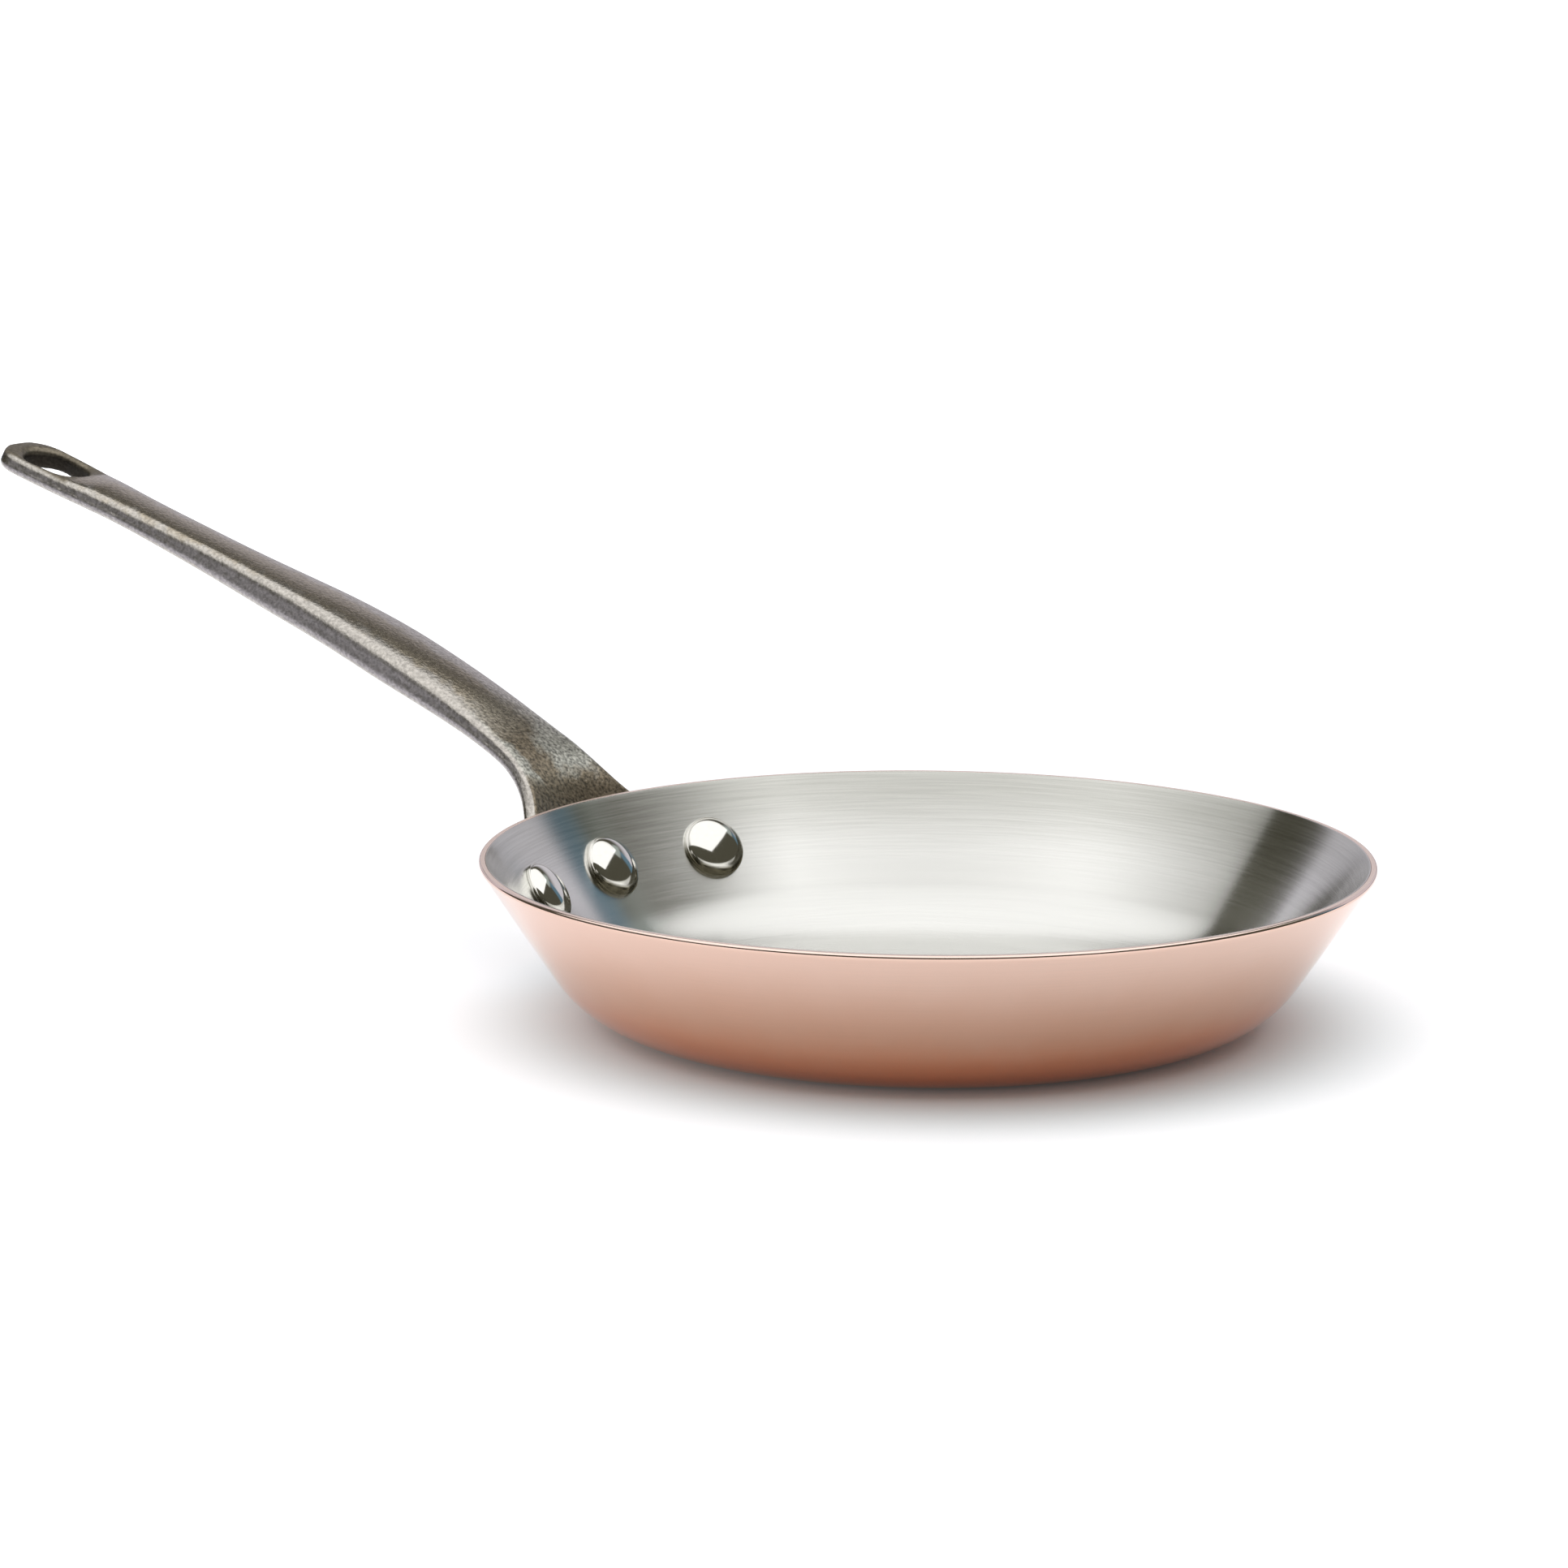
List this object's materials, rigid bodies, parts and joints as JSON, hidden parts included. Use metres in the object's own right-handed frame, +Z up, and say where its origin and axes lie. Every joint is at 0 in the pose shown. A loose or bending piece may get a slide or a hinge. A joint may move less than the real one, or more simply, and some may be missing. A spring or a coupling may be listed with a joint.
{
  "type": "copper frying pan",
  "caption": "Round shallow frying pan with a lined copper body, sloping wall and a long riveted iron handle that ends in a hanging eye.",
  "frame": {"origin": "centre of the base's flat underside", "axes": "+Z is up, out of the pan's open top; -X is the way the handle points, seen from above"},
  "size_m": [0.3891, 0.2, 0.1046],
  "materials": {
    "copper": "mirror-polished copper",
    "lining": "stainless steel brushed in fine circles round the pan's centre",
    "handle_iron": "fine sand-cast grain under a thin satin coat",
    "rivet_metal": "polished stainless steel"
  },
  "bodies": {
    "root": {"copper_body": "copper", "steel_lining": "lining", "handle": "handle_iron", "rivet_left": "rivet_metal", "rivet_centre": "rivet_metal", "rivet_right": "rivet_metal"}
  },
  "joints": []
}
